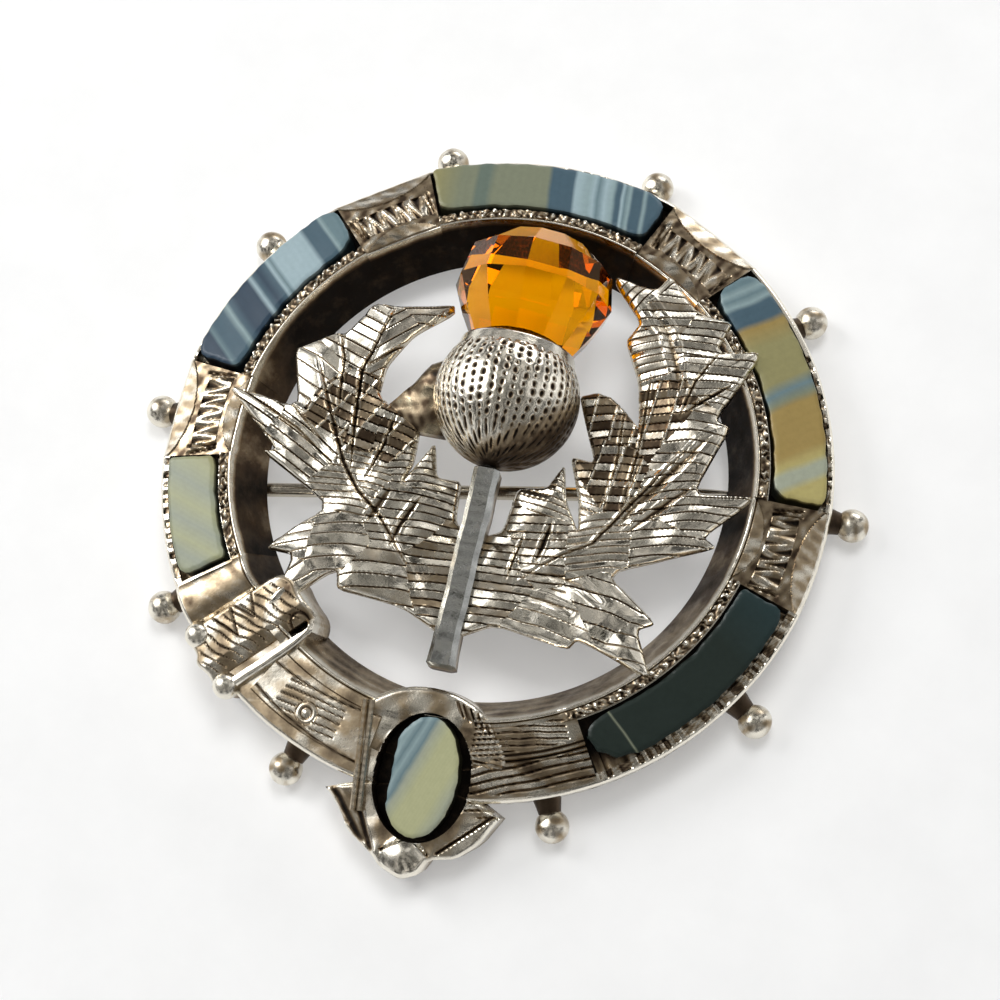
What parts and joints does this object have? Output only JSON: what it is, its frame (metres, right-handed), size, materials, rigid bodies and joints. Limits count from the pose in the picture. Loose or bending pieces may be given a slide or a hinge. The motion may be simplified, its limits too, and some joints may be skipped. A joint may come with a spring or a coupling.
{
  "type": "brooch",
  "caption": "Round silver brooch: a buckled belt set with banded agates round a thistle with a faceted citrine flower, and a hinged pin behind.",
  "frame": {"origin": "middle of the belt, on the surface the brooch lies on, under its balls", "axes": "+X to the thistle's right, +Y towards its flower, +Z out of the face"},
  "size_m": [0.0444, 0.0462, 0.0099],
  "materials": {
    "silver": "bright engraved silver with dark tarnish in its recesses",
    "citrine": "polished, faceted",
    "agate_top": "polished",
    "agate_upper_right": "polished",
    "agate_lower_right": "polished",
    "agate_oval": "polished",
    "agate_left": "polished",
    "agate_upper_left": "polished",
    "pin_wire": "drawn wire"
  },
  "bodies": {
    "brooch": {"silver_frame": "silver", "citrine": "citrine", "agate_top": "agate_top", "agate_upper_right": "agate_upper_right", "agate_lower_right": "agate_lower_right", "agate_oval": "agate_oval", "agate_left": "agate_left", "agate_upper_left": "agate_upper_left"},
    "pin": {"pin": "pin_wire"}
  },
  "joints": [
    {"name": "pin_hinge", "type": "hinge", "parent": "brooch", "child": "pin", "pos_m": [-0.01516, -0.00346, 0.00064], "axis": [-0.1771, 0.9842, 0], "range_deg": [0, 80]}
  ]
}
